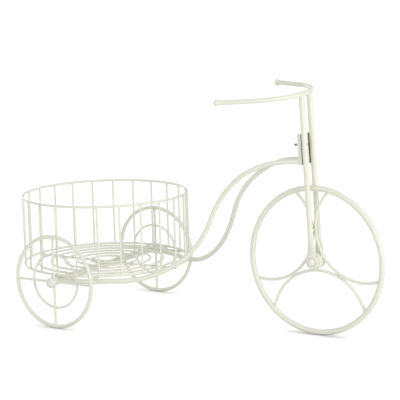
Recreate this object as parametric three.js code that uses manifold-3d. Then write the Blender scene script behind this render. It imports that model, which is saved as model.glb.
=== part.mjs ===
// Tricycle planter stand: a round wire basket between two small rear wheels, a pair
// of tubes that sweep up from the rear axle to a bolted bracket, and a fork that
// carries a tall front wheel with three arc spokes and a bow handlebar.
// Millimetres. +X is forward, +Y is left, +Z is up. The floor is z = 0 and the origin
// is the middle of the footprint.
import * as THREE from 'three';
import { mergeVertices } from 'three/addons/utils/BufferGeometryUtils.js';
import Module from 'manifold-3d';

const wasm = await Module();
wasm.setup();

// ---- Driving dimensions ----------------------------------------------------------

// Basket
const basketRadius = 123;            // centre of the top and bottom ring wires
const basketDepth = 100.5;           // bottom ring centre to top ring centre
const basketOffset = 1;              // basket centre ahead of the rear axle
const topRingWire = 3.6;             // wire diameters
const bottomRingWire = 3.4;
const uprightWire = 2.8;
const uprightCount = 24;
const floorRingWire = 3;
const floorRingCount = 5;
const floorInnerRadius = 25.5;       // smallest floor ring
const floorCrossWire = 3.2;
const floorCrossOverrun = 1.4;       // how far the cross runs past the bottom ring centre

// Rear wheels and axle
const rearWheelRadius = 68.6;        // to the outside of the rim
const rearRimRod = 5.6;
const innerRingRadius = 38.5;
const innerRingWire = 3;
const rearSpokeRod = 3.4;
const rearSpokeCount = 4;
const rearHubDiameter = 12;
const rearHubLength = 12;
const basketToWheel = 1.6;           // clear space between basket and inner rings
const rearAxleDiameter = 7;
const rearSpindleDiameter = 4.6;
const rearCapDiameter = 15;
const rearCapHeight = 6.5;
const rearSpindleInCap = 3.6;        // length of spindle inside the cap

// Frame tubes
const frameTube = 7;
const frameAxleInset = 0.5;          // side of the tube to the axle's shoulder
const frameSideAngle = 70;           // beside the basket, degrees from forward
const frameSideInset = 4.2;          // there, how far inside the bottom ring's centre
const frameTurnAngle = 48;           // where the tube starts to rise, degrees from forward
const frameTurnInset = 2.7;
const frameRiseRun = 246;            // length of the S bend, seen from the side
const frameTopRun = 10.4;             // level end behind the bracket
const waistRun = 118.8;              // from the start of the rise to the waist
const waistHalfWidth = 33.2;         // there, half the space between the tubes' centres
const neckRun = 182;                 // from the start of the rise to the neck
const neckHalfWidth = 26.3;
const frameToPlateEdge = 0.3;        // side of the tube to the side of the plate
const frameAbovePlateEdge = 0.3;     // underside of the tube to the bottom of the plate

// Bracket
const plateThickness = 3;
const plateHeight = 43;
const plateCorner = 3;
const legBeyondPlate = 1.5;          // outside of a leg beyond the side of the plates
const wheelToPlate = 29.1;           // clear space between front wheel and plates
const boltDiameter = 3.5;
const boltHeadDiameter = 7;
const boltHeadHeight = 2.6;
const boltTail = 12;                 // thread that stands out behind the frame plate
const boltChamfer = 0.6;
const boltAbovePlateMiddle = 5;

// Fork and handlebar
const forkRake = 3;                  // degrees that the legs lean back
const legTube = 8;
const eyeDiameter = 20;
const eyeThickness = 3.2;
const eyeNeckWidth = 12.4;           // flattened tube just above the eye
const eyeNeckRoot = 4;               // above the axle, where the flat part starts
const eyeNeckHeight = 14;            // above the axle, where the flat part ends
const eyeTaper = 20;                 // length over which the tube is flattened
const handlebarTube = 6.6;
const handlebarRise = 55;            // above the top of the plates
const handlebarBowRadius = 72.5;
const handlebarBowAngle = 70;        // half of the bow, degrees
const handlebarArm = 46.2;
const handlebarDroop = 1.9;          // degrees that the arms drop from square to the legs
const handlebarTwist = 4;            // degrees that the bar is turned on the legs, left end up
const handlebarBall = 9.6;

// Front wheel
const frontWheelRadius = 105.8;      // to the outside of the rim
const frontRimRod = 8.2;
const arcSpokeRod = 4.2;
const arcSpokeCount = 3;
const arcSpokeTurn = 33;             // direction of the first arc, degrees above forward
const frontHubDiameter = 23;
const frontHubLength = 18.4;
const frontHubChamfer = 1;
const frontAxleDiameter = 5;
const frontAxleInNut = 4.2;          // length of axle inside each cap nut
const capNutDiameter = 11;
const capNutHeight = 7;
const capSkirt = 2;                  // straight side of every cap, below its dome

// Clearances
const weldGap = 0.2;                 // between pieces that are welded together
const boltGap = 0.2;                 // between pieces that are bolted together
const spinGap = 0.35;                // at each end of a hub
const boreGap = 0.4;                 // added to a bore's diameter for the rod inside it

// Facets
const rodSides = 8;
const thinRodSides = 6;
const legSides = 12;
const boltSides = 16;
const capSides = 16;
const hubSides = 20;
const eyeSides = 24;
const ballSides = 14;
const ballRows = 8;
const floorRingSegments = 40;
const rearRimSegments = 40;
const innerRingSegments = 28;
const frontRimSegments = 48;
const frameTubeSteps = 36;
const handlebarSteps = 34;
const handlebarArmPoints = 4;
const handlebarBowPoints = 16;
const arcSpokeSteps = 20;
const taperSteps = 4;
const domeSteps = 5;
const cornerSteps = 4;

// ---- Places that follow from the dimensions ----------------------------------------

const degrees = Math.PI / 180;
const rearAxleHeight = rearWheelRadius;
const floorCrossHeight = rearAxleHeight + rearAxleDiameter / 2 + weldGap + floorCrossWire / 2;
const floorCrossTop = floorCrossHeight + floorCrossWire / 2;
const bottomRingHeight = floorCrossTop + weldGap + bottomRingWire / 2;
const floorRingHeight = floorCrossTop + weldGap + floorRingWire / 2;
const floorRingPitch = (basketRadius - floorInnerRadius) / floorRingCount;
const topRingHeight = bottomRingHeight + basketDepth;
const basketOutside = basketRadius + Math.max(topRingWire, bottomRingWire) / 2;
const innerRingOffset = rearSpokeRod / 2 + weldGap + innerRingWire / 2;
const rearWheelPlane = basketOutside + basketToWheel + innerRingWire / 2 + innerRingOffset;
const rearHubInside = rearWheelPlane - rearHubLength / 2;
const rearHubOutside = rearWheelPlane + rearHubLength / 2;

const legOffset = frontHubLength / 2 + spinGap + eyeThickness / 2;
const plateWidth = 2 * (legOffset + legTube / 2 - legBeyondPlate);
const plateBottom = frontWheelRadius + wheelToPlate;
const plateTop = plateBottom + plateHeight;
const handlebarHeight = plateTop + handlebarRise;
const forkPlateX = -(legTube / 2 + weldGap + plateThickness / 2);
const framePlateX = forkPlateX - plateThickness - boltGap;
const frameSeatHeight = plateBottom + frameAbovePlateEdge + frameTube / 2;

const rake = forkRake * degrees;
const frameTopHeight = frontWheelRadius + frameSeatHeight * Math.cos(rake);
const frameRise = frameTopHeight - rearAxleHeight;
const frameRiseStart = basketOffset + basketRadius * Math.cos(frameTurnAngle * degrees);
const frameEndX = frameRiseStart + frameRiseRun + frameTopRun;
const bracketBack = -framePlateX + plateThickness / 2 + weldGap;
const wheelbase = frameEndX + bracketBack * Math.cos(rake) + frameSeatHeight * Math.sin(rake);

const backReach = basketRadius + topRingWire / 2 - basketOffset;
const frontReach = wheelbase + frontWheelRadius;

// ---- Materials ---------------------------------------------------------------------

const enamel = () => new THREE.MeshStandardMaterial({ color: '#ece8d8', roughness: 0.42, metalness: 0 });
const plastic = () => new THREE.MeshStandardMaterial({ color: '#dcdcd4', roughness: 0.5, metalness: 0 });
const steel = () => new THREE.MeshStandardMaterial({ color: '#6f706c', roughness: 0.4, metalness: 1 });

// ---- Shapes ------------------------------------------------------------------------

// A regular polygon whose flats, not corners, lie at the given radius. One flat is on
// top and, with an even number of sides, one is at the bottom.
function rodSection(radius, sides) {
  const corner = radius / Math.cos(Math.PI / sides);
  return Array.from({ length: sides }, (_, i) => {
    const turn = Math.PI / 2 + (i + 0.5) * 2 * Math.PI / sides;
    return new THREE.Vector2(corner * Math.cos(turn), corner * Math.sin(turn));
  });
}

// A straight rod between two points, with a flat facing up where it lies level.
function straightRod(from, to, diameter) {
  return sweptRod(new THREE.LineCurve3(from, to), diameter, 1);
}

// A rod bent along a curve.
function sweptRod(path, diameter, steps) {
  const section = new THREE.Shape(rodSection(diameter / 2, rodSides));
  return new THREE.ExtrudeGeometry(section, { extrudePath: path, steps });
}

// A rod bent into a closed ring about the Y axis. A flat of the ring faces down.
function ringAboutY(radius, rod, segments, sides = rodSides) {
  const flatToCorner = 1 / Math.cos(Math.PI / segments);
  const section = rodSection(rod / 2, sides).map(
    (p) => new THREE.Vector2((radius + p.x) * flatToCorner, p.y));
  section.push(section[0].clone());
  return new THREE.LatheGeometry(section, segments, Math.PI / segments);
}

// The same ring lying level, about the Z axis, with corners at the uprights.
function ringAboutZ(radius, rod, segments, sides = rodSides) {
  const section = rodSection(rod / 2, sides).map((p) => new THREE.Vector2(radius + p.x, p.y));
  section.push(section[0].clone());
  return new THREE.LatheGeometry(section, segments).rotateX(Math.PI / 2);
}

// A turned piece about the Y axis, from a list of [radius, y] pairs.
function turned(profile, segments) {
  const points = profile.map(([radius, y]) => new THREE.Vector2(radius, y));
  return new THREE.LatheGeometry(points, segments);
}

// A dome with a blind bore: its flat face is at y = 0 and it swells towards +Y.
function domeCap(diameter, height, bore, boreDepth) {
  const profile = [[0, boreDepth], [bore / 2, boreDepth], [bore / 2, 0], [diameter / 2, 0]];
  for (let i = 0; i < domeSteps; i += 1) {
    const turn = i / domeSteps * Math.PI / 2;
    const rise = (height - capSkirt) * Math.sin(turn);
    profile.push([diameter / 2 * Math.cos(turn), capSkirt + rise]);
  }
  profile.push([0, height]);
  return turned(profile, capSides);
}

// Solids for cutting and joining.
function toSolid(geometry) {
  const plain = geometry.clone();
  plain.deleteAttribute('normal');
  plain.deleteAttribute('uv');
  const merged = mergeVertices(plain, 1e-4);
  return new wasm.Manifold(new wasm.Mesh({
    numProp: 3,
    vertProperties: new Float32Array(merged.attributes.position.array),
    triVerts: new Uint32Array(merged.index.array),
  }));
}

function toGeometry(solid) {
  const mesh = solid.getMesh();
  const geometry = new THREE.BufferGeometry();
  geometry.setAttribute('position', new THREE.BufferAttribute(new Float32Array(mesh.vertProperties), 3));
  geometry.setIndex(new THREE.BufferAttribute(new Uint32Array(mesh.triVerts), 1));
  geometry.computeVertexNormals();
  return geometry;
}

function cut(geometry, ...tools) {
  return toGeometry(tools.reduce((solid, tool) => solid.subtract(toSolid(tool)), toSolid(geometry)));
}

function join(first, ...others) {
  return toGeometry(others.reduce((solid, other) => solid.add(toSolid(other)), toSolid(first)));
}

// ---- Model -------------------------------------------------------------------------

const model = new THREE.Group();
model.position.x = (backReach - frontReach) / 2;

function place(parent, name, geometry, material, x = 0, y = 0, z = 0) {
  const mesh = new THREE.Mesh(geometry, material());
  mesh.name = name;
  mesh.position.set(x, y, z);
  parent.add(mesh);
  return mesh;
}

const point = (x, y, z) => new THREE.Vector3(x, y, z);
const sides = [['left', 1], ['right', -1]];

// Basket: rings, uprights and a floor of rings on a cross of wires.
function addBasket() {
  const basket = new THREE.Group();
  basket.position.x = basketOffset;
  model.add(basket);
  const ringSegments = 2 * uprightCount;
  const topRing = ringAboutZ(basketRadius, topRingWire, ringSegments);
  const bottomRing = ringAboutZ(basketRadius, bottomRingWire, ringSegments);
  place(basket, 'basket_top_ring', topRing, enamel, 0, 0, topRingHeight);
  place(basket, 'basket_bottom_ring', bottomRing, enamel, 0, 0, bottomRingHeight);

  const foot = bottomRingHeight + bottomRingWire / 2 + weldGap;
  const head = topRingHeight - topRingWire / 2 - weldGap;
  for (let i = 0; i < uprightCount; i += 1) {
    const turn = i / uprightCount * 2 * Math.PI;
    const upright = new THREE.CylinderGeometry(uprightWire / 2, uprightWire / 2, head - foot, rodSides);
    upright.rotateX(Math.PI / 2);
    const mesh = place(basket, `basket_upright_${String(i + 1).padStart(2, '0')}`, upright, enamel,
      basketRadius * Math.cos(turn), basketRadius * Math.sin(turn), (foot + head) / 2);
    mesh.rotation.z = turn;
  }

  for (let i = 1; i <= floorRingCount; i += 1) {
    const radius = basketRadius - i * floorRingPitch;
    const ring = ringAboutZ(radius, floorRingWire, floorRingSegments, thinRodSides);
    place(basket, `basket_floor_ring_${i}`, ring, enamel, 0, 0, floorRingHeight);
  }

  const reach = basketRadius + floorCrossOverrun;
  const across = straightRod(point(0, -reach, 0), point(0, reach, 0), floorCrossWire);
  const along = straightRod(point(-reach, 0, 0), point(reach, 0, 0), floorCrossWire);
  place(basket, 'basket_floor_cross', join(across, along), enamel, 0, 0, floorCrossHeight);
}

// Rear axle: a rod with a thinner spindle at each end for the wheel.
const spindleEnd = rearHubOutside + spinGap + rearSpindleInCap;

function addRearAxle() {
  const thick = rearAxleDiameter / 2 / Math.cos(Math.PI / hubSides);
  const thin = rearSpindleDiameter / 2;
  const shoulder = rearHubInside - spinGap;
  const axle = turned([[0, -spindleEnd], [thin, -spindleEnd], [thin, -shoulder], [thick, -shoulder],
    [thick, shoulder], [thin, shoulder], [thin, spindleEnd], [0, spindleEnd]], hubSides);
  axle.rotateY(Math.PI / hubSides);
  place(model, 'rear_axle', axle, enamel, 0, 0, rearAxleHeight);
}

// Rear wheel: rim, hub with a cross of spokes, inner ring on the spokes' inner side.
function addRearWheel(side, sign) {
  const wheel = new THREE.Group();
  wheel.position.set(0, sign * rearWheelPlane, rearAxleHeight);
  model.add(wheel);
  const rim = ringAboutY(rearWheelRadius - rearRimRod / 2, rearRimRod, rearRimSegments);
  place(wheel, `rear_wheel_rim_${side}`, rim, enamel);
  const ring = ringAboutY(innerRingRadius, innerRingWire, innerRingSegments, thinRodSides);
  place(wheel, `rear_wheel_ring_${side}`, ring, enamel, 0, -sign * innerRingOffset, 0);

  const bore = (rearSpindleDiameter + boreGap) / 2;
  const hub = rearHubDiameter / 2;
  const half = rearHubLength / 2;
  const barrel = turned([[bore, -half], [hub, -half], [hub, half], [bore, half], [bore, -half]],
    hubSides);
  const spokes = [];
  for (let i = 0; i < rearSpokeCount; i += 1) {
    const spoke = straightRod(point(0, 0, (bore + hub) / 2),
      point(0, 0, rearWheelRadius - rearRimRod - weldGap), rearSpokeRod);
    spokes.push(spoke.rotateY(i / rearSpokeCount * 2 * Math.PI));
  }
  place(wheel, `rear_wheel_spider_${side}`, join(barrel, ...spokes), enamel);

  const boreDepth = rearSpindleInCap + weldGap;
  const cap = domeCap(rearCapDiameter, rearCapHeight, rearSpindleDiameter + boreGap, boreDepth);
  const capMesh = place(wheel, `rear_axle_cap_${side}`, cap, plastic,
    0, sign * (rearHubLength / 2 + spinGap), 0);
  capMesh.rotation.z = sign > 0 ? 0 : Math.PI;
}

// Height of a frame tube: level behind, an S bend of two equal arcs, level again.
function frameHeightAt(x) {
  const bend = 2 * Math.atan2(frameRise, frameRiseRun);
  const radius = frameRiseRun / 2 / Math.sin(bend);
  const run = Math.min(Math.max(x - frameRiseStart, 0), frameRiseRun);
  const drop = (d) => radius - Math.sqrt(radius * radius - d * d);
  const climb = run <= frameRiseRun / 2 ? drop(run) : frameRise - drop(frameRiseRun - run);
  return rearAxleHeight + climb;
}

// Frame tubes: each runs forward from the axle beside the basket's bottom ring, turns
// in under it and sweeps up to the bracket.
function addFrameTube(side, sign) {
  const insideRing = (angle, inset) => {
    const radius = basketRadius - inset;
    return new THREE.Vector2(basketOffset + radius * Math.cos(angle * degrees),
      radius * Math.sin(angle * degrees));
  };
  const startY = rearHubInside - spinGap - frameAxleInset - frameTube / 2;
  const endY = plateWidth / 2 - frameToPlateEdge - frameTube / 2;
  const plan = new THREE.SplineCurve([
    new THREE.Vector2(0, startY),
    insideRing(frameSideAngle, frameSideInset),
    insideRing(frameTurnAngle, frameTurnInset),
    new THREE.Vector2(frameRiseStart + waistRun, waistHalfWidth),
    new THREE.Vector2(frameRiseStart + neckRun, neckHalfWidth),
    new THREE.Vector2(frameEndX + weldGap + plateThickness / 2, endY),
  ]);
  const path = new THREE.CatmullRomCurve3(plan.getSpacedPoints(frameTubeSteps).map(
    (p) => point(p.x, sign * p.y, frameHeightAt(p.x))));
  const seatRadius = rearAxleDiameter / 2 + weldGap;
  const axleSeat = new THREE.CylinderGeometry(seatRadius, seatRadius, 2 * rearHubInside, hubSides);
  axleSeat.translate(0, 0, rearAxleHeight);
  const plateSeat = new THREE.BoxGeometry(plateThickness + 2 * weldGap, plateWidth, plateHeight);
  plateSeat.translate(framePlateX, 0, (plateBottom + plateTop) / 2);
  plateSeat.rotateY(-rake).translate(wheelbase, 0, frontWheelRadius);
  const tube = cut(sweptRod(path, frameTube, frameTubeSteps), axleSeat, plateSeat);
  place(model, `frame_tube_${side}`, tube, enamel);
}

// The fork stands on the front axle and leans back by the rake. Everything on it is
// placed in its own frame, with the legs along +Z.
const fork = new THREE.Group();
fork.position.set(wheelbase, 0, frontWheelRadius);
fork.rotation.y = -rake;
model.add(fork);

function handlebarPath() {
  const bow = handlebarBowAngle * degrees;
  const points = [];
  const onBow = (turn) => point(handlebarBowRadius * (Math.cos(turn) - 1),
    handlebarBowRadius * Math.sin(turn), 0);
  for (let i = 0; i < handlebarArmPoints; i += 1) {
    const past = handlebarArm * (1 - i / handlebarArmPoints);
    points.push(onBow(-bow).add(point(-past * Math.sin(bow), -past * Math.cos(bow), 0)));
  }
  for (let i = 0; i <= handlebarBowPoints; i += 1) {
    points.push(onBow(bow * (2 * i / handlebarBowPoints - 1)));
  }
  for (let i = handlebarArmPoints - 1; i >= 0; i -= 1) {
    points.push(points[i].clone().setY(-points[i].y));
  }
  const droop = new THREE.Matrix4().makeRotationY(handlebarDroop * degrees);
  const twist = new THREE.Matrix4().makeRotationX(handlebarTwist * degrees);
  const middle = point(0, 0, handlebarHeight);
  return new THREE.CatmullRomCurve3(points.map(
    (p) => p.applyMatrix4(droop).applyMatrix4(twist).add(middle)));
}

function addHandlebar() {
  const path = handlebarPath();
  const bar = sweptRod(path, handlebarTube, handlebarSteps);
  const seats = [0, 1].map((end) => {
    const seat = new THREE.SphereGeometry(handlebarBall / 2 + weldGap, ballSides, ballRows);
    return seat.translate(...path.getPoint(end).toArray());
  });
  place(fork, 'handlebar', cut(bar, ...seats), enamel);
  for (const [side, sign] of sides) {
    const ball = new THREE.SphereGeometry(handlebarBall / 2, ballSides, ballRows);
    place(fork, `handlebar_ball_${side}`, ball, enamel, ...path.getPoint((1 + sign) / 2).toArray());
  }
}

// Fork leg: a tube, flattened at its foot into a neck and an eye for the axle. Its top
// is cut to saddle the handlebar.
function legBody() {
  const half = legTube / 2;
  const stations = [[eyeNeckRoot, 0]];
  for (let i = 0; i <= taperSteps; i += 1) {
    const along = i / taperSteps;
    stations.push([eyeNeckHeight + along * eyeTaper, THREE.MathUtils.smoothstep(along, 0, 1)]);
  }
  stations.push([handlebarHeight - handlebarTube / 4, 1]);

  // Each station's section is an ellipse: flat at the eye, round along the tube.
  const position = [];
  for (const [height, roundness] of stations) {
    const halfX = THREE.MathUtils.lerp(eyeNeckWidth / 2, half, roundness);
    const halfY = THREE.MathUtils.lerp(eyeThickness / 2, half, roundness);
    for (let i = 0; i < legSides; i += 1) {
      const turn = i / legSides * 2 * Math.PI;
      position.push(halfX * Math.cos(turn), halfY * Math.sin(turn), height);
    }
  }
  const index = [];
  const last = (stations.length - 1) * legSides;
  for (let start = 0; start < last; start += legSides) {
    for (let i = 0; i < legSides; i += 1) {
      const a = start + i;
      const b = start + (i + 1) % legSides;
      index.push(a, b, b + legSides, a, b + legSides, a + legSides);
    }
  }
  for (let i = 1; i + 1 < legSides; i += 1) {
    index.push(0, i + 1, i, last, last + i, last + i + 1);
  }
  const geometry = new THREE.BufferGeometry();
  geometry.setAttribute('position', new THREE.Float32BufferAttribute(position, 3));
  geometry.setIndex(index);
  return geometry;
}

function addLegs() {
  const eyeRadius = eyeDiameter / 2;
  const eye = new THREE.CylinderGeometry(eyeRadius, eyeRadius, eyeThickness, eyeSides);
  const bore = (frontAxleDiameter + boreGap) / 2;
  const axleBore = new THREE.CylinderGeometry(bore, bore, 2 * eyeThickness, boltSides);
  for (const [side, sign] of sides) {
    const saddle = sweptRod(handlebarPath(), handlebarTube + 2 * weldGap, handlebarSteps);
    saddle.translate(0, -sign * legOffset, 0);
    const leg = cut(join(legBody(), eye), axleBore, saddle);
    place(fork, `fork_leg_${side}`, leg, enamel, 0, sign * legOffset, 0);
  }
}

// Bracket: one plate on the legs, one on the frame tubes, and a bolt through both.
function plateGeometry() {
  const w = plateWidth / 2 - plateCorner;
  const h = plateHeight / 2 - plateCorner;
  const outline = new THREE.Shape();
  outline.absarc(w, h, plateCorner, 0, Math.PI / 2);
  outline.absarc(-w, h, plateCorner, Math.PI / 2, Math.PI);
  outline.absarc(-w, -h, plateCorner, Math.PI, 1.5 * Math.PI);
  outline.absarc(w, -h, plateCorner, 1.5 * Math.PI, 2 * Math.PI);
  const hole = new THREE.Path();
  hole.absarc(0, boltAbovePlateMiddle, (boltDiameter + boreGap) / 2, 0, 2 * Math.PI);
  outline.holes.push(hole);
  const plate = new THREE.ExtrudeGeometry(outline,
    { depth: plateThickness, bevelEnabled: false, curveSegments: cornerSteps });
  plate.translate(0, 0, -plateThickness / 2);
  // The outline's width turns to Y and its height to Z.
  return plate.rotateX(Math.PI / 2).rotateZ(Math.PI / 2);
}

function addBracket() {
  const middle = (plateBottom + plateTop) / 2;
  place(fork, 'fork_plate', plateGeometry(), enamel, forkPlateX, 0, middle);
  place(fork, 'frame_plate', plateGeometry(), enamel, framePlateX, 0, middle);
  const front = forkPlateX + plateThickness / 2 + boltGap;
  const back = framePlateX - plateThickness / 2 - boltTail;
  const head = boltHeadDiameter / 2;
  const shank = boltDiameter / 2;
  const bevel = boltHeadHeight / 2;
  const bolt = turned([[0, back], [shank - boltChamfer, back], [shank, back + boltChamfer],
    [shank, front], [head, front], [head, front + bevel], [head - bevel, front + boltHeadHeight],
    [0, front + boltHeadHeight]], boltSides);
  place(fork, 'bracket_bolt', bolt.rotateZ(-Math.PI / 2), steel,
    0, 0, middle + boltAbovePlateMiddle);
}

// Front axle with a cap nut at each end.
function addFrontAxle() {
  const eyeOutside = legOffset + eyeThickness / 2;
  const nutFace = eyeOutside + boltGap;
  const end = nutFace + frontAxleInNut;
  const rod = frontAxleDiameter / 2;
  const axle = new THREE.CylinderGeometry(rod, rod, 2 * end, boltSides);
  place(fork, 'front_axle', axle, steel);
  for (const [side, sign] of sides) {
    const boreDepth = frontAxleInNut + weldGap;
    const nut = domeCap(capNutDiameter, capNutHeight, frontAxleDiameter + boreGap, boreDepth);
    const mesh = place(fork, `front_cap_nut_${side}`, nut, plastic, 0, sign * nutFace, 0);
    mesh.rotation.z = sign > 0 ? 0 : Math.PI;
  }
}

// Front wheel: rim, hub and three arc spokes. Each arc starts and ends on the rim,
// bows in to touch the hub, and passes its neighbours a weld's width away.
function addFrontWheel() {
  const wheel = new THREE.Group();
  wheel.position.set(wheelbase, 0, frontWheelRadius);
  model.add(wheel);
  const rimRadius = frontWheelRadius - frontRimRod / 2;
  place(wheel, 'front_wheel_rim', ringAboutY(rimRadius, frontRimRod, frontRimSegments), enamel);

  const bore = (frontAxleDiameter + boreGap) / 2;
  const half = frontHubLength / 2;
  const hub = frontHubDiameter / 2;
  const bevel = frontHubChamfer;
  const barrel = turned([[bore, -half], [hub - bevel, -half], [hub, -half + bevel],
    [hub, half - bevel], [hub - bevel, half], [bore, half], [bore, -half]], hubSides);
  place(wheel, 'front_wheel_hub', barrel, enamel);

  const nearest = hub + weldGap + arcSpokeRod / 2;
  const halfStep = Math.PI / arcSpokeCount;
  const sideSpace = arcSpokeRod / 2 + weldGap / 2;
  const centre = (nearest - sideSpace) / (1 - Math.sin(halfStep));
  const radius = centre - nearest;
  const sweep = Math.acos((radius ** 2 + centre ** 2 - rimRadius ** 2) / (2 * radius * centre));
  const rimSeat = ringAboutY(rimRadius, frontRimRod + 2 * weldGap, frontRimSegments);
  for (let i = 0; i < arcSpokeCount; i += 1) {
    const direction = arcSpokeTurn * degrees + i * 2 * halfStep;
    const points = Array.from({ length: arcSpokeSteps + 1 }, (_, k) => {
      const turn = sweep * (2 * k / arcSpokeSteps - 1);
      const out = centre - radius * Math.cos(turn);
      const along = radius * Math.sin(turn);
      return point(out * Math.cos(direction) - along * Math.sin(direction), 0,
        out * Math.sin(direction) + along * Math.cos(direction));
    });
    const arc = sweptRod(new THREE.CatmullRomCurve3(points), arcSpokeRod, arcSpokeSteps);
    place(wheel, `front_wheel_arc_${i + 1}`, cut(arc, rimSeat), enamel);
  }
}

addBasket();
addRearAxle();
for (const [side, sign] of sides) {
  addRearWheel(side, sign);
  addFrameTube(side, sign);
}
addHandlebar();
addLegs();
addBracket();
addFrontAxle();
addFrontWheel();

export default model;
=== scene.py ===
"""Tricycle planter stand in ivory enamel: the looks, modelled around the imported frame.

Metres. +X is forward, +Y is the stand's left, +Z is up, and the floor is z = 0.
"""
import math

import bmesh
import bpy
from bpy.props import FloatProperty, FloatVectorProperty, PointerProperty
from mathutils import Matrix, Vector


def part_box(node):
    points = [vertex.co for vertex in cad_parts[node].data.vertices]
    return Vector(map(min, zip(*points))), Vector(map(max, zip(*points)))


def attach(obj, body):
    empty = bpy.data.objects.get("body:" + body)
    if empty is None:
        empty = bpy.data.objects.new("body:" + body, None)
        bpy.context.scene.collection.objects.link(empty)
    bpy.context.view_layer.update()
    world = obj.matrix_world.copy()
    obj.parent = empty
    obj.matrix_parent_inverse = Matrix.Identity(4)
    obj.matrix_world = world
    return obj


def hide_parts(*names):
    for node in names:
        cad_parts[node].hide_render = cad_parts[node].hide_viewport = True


bl_info = {
    "name": "Tricycle Planter Stand",
    "version": (1, 0, 0),
    "blender": (4, 5, 0),
    "location": "View3D > Sidebar > Planter",
    "description": "Models and finishes an enamelled wire planter stand in the shape of a tricycle",
    "category": "Add Mesh",
}

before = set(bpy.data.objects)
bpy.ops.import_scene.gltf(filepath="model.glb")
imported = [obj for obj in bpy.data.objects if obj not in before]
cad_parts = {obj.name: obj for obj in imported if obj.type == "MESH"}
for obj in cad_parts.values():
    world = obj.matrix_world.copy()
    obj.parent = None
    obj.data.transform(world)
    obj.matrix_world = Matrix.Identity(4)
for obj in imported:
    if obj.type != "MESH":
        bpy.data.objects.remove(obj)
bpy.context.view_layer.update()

MM = 0.001
SIDES = (("left", 1), ("right", -1))
ORIGIN = Vector((0, 0, 0))
X, Y, Z = Vector((1, 0, 0)), Vector((0, 1, 0)), Vector((0, 0, 1))
QUARTER = math.pi / 2

WELD_GAP = 0.2 * MM  # between solids that are welded together
SPIN_GAP = 0.35 * MM  # at each end of a hub
BORE_PLAY = 0.2 * MM  # all round a rod in its bore
AXLE_EDGE = 0.5 * MM  # bevels on the rear axle


def linear(hex_colour):
    """The linear red, green and blue of an sRGB hex colour."""
    channels = [int(hex_colour[i:i + 2], 16) / 255 for i in (1, 3, 5)]
    return [c / 12.92 if c <= 0.04045 else ((c + 0.055) / 1.055) ** 2.4 for c in channels]


def middle(node):
    """The middle of a CAD node's box."""
    low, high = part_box(node)
    return (low + high) / 2


def extent(node):
    """The size of a CAD node's box."""
    low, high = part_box(node)
    return high - low


# ---- Sizes and colours ----

def length(name, description, default):
    return FloatProperty(name=name, description=description, default=default,
                         unit="LENGTH", precision=5)


def turn(name, description, degrees):
    return FloatProperty(name=name, description=description, default=math.radians(degrees),
                         unit="ROTATION")


def colour(name, description, hex_colour):
    return FloatVectorProperty(name=name, description=description, default=linear(hex_colour),
                               subtype="COLOR", min=0, max=1)


def diameter(name, of_what, default):
    return length(name, f"Diameter of {of_what}", default)


class PlanterSizes(bpy.types.PropertyGroup):
    """Sizes of the rods, tubes, plates and welds"""
    upright_wire: diameter("Upright wire", "the basket's uprights", extent("basket_upright_01").x)
    top_ring_wire: diameter("Top ring wire", "the basket's top ring wire", extent("basket_top_ring").z)
    bottom_ring_wire: diameter("Bottom ring wire", "the bottom ring wire", extent("basket_bottom_ring").z)
    floor_ring_wire: diameter("Floor ring wire", "the floor rings' wire", extent("basket_floor_ring_1").z)
    floor_cross_wire: diameter("Floor cross wire", "the wires under the floor rings",
                               extent("basket_floor_cross").z)
    rear_rim_rod: diameter("Rear rim rod", "the rear rims' rod", extent("rear_wheel_rim_left").y)
    inner_ring_wire: diameter("Inner ring wire", "the rear wheels' inner ring wire",
                              extent("rear_wheel_ring_left").y)
    rear_spoke_rod: diameter("Rear spoke rod", "the rear wheels' spokes", 3.4 * MM)
    rear_spindle: diameter("Rear spindle", "the rear axle's ends", 4.6 * MM)
    rear_hub: diameter("Rear hub", "the rear wheels' hubs", 12 * MM)
    front_bore: diameter("Front bore", "the bores for the front axle", 5.4 * MM)
    frame_tube: diameter("Frame tube", "the two frame tubes", 7 * MM)
    leg_tube: diameter("Fork tube", "the fork's two legs", extent("fork_leg_left").y)
    eye: diameter("Eye", "the legs' round eyes", 20 * MM)
    eye_thickness: length("Eye thickness", "Thickness of the legs' flattened feet", 3.2 * MM)
    neck_width: length("Neck width", "Width of the flattened leg above its eye", 12.4 * MM)
    plate_thickness: length("Plate thickness", "Thickness of each bracket plate", 3 * MM)
    plate_height: length("Plate height", "Height of each bracket plate", 43 * MM)
    handlebar_tube: diameter("Handlebar tube", "the handlebar", 6.6 * MM)
    front_rim_rod: diameter("Front rim rod", "the front rim's rod", extent("front_wheel_rim").y)
    arc_rod: diameter("Arc rod", "the front wheel's arc spokes", extent("front_wheel_arc_1").y)
    weld_length: length("Weld length", "How far a weld and its paint run up a rod", 1.6 * MM)
    weld_swell: FloatProperty(name="Weld swell", default=0.38, min=0, max=1,
                              description="How much a rod thickens at a weld, as a share")


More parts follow.
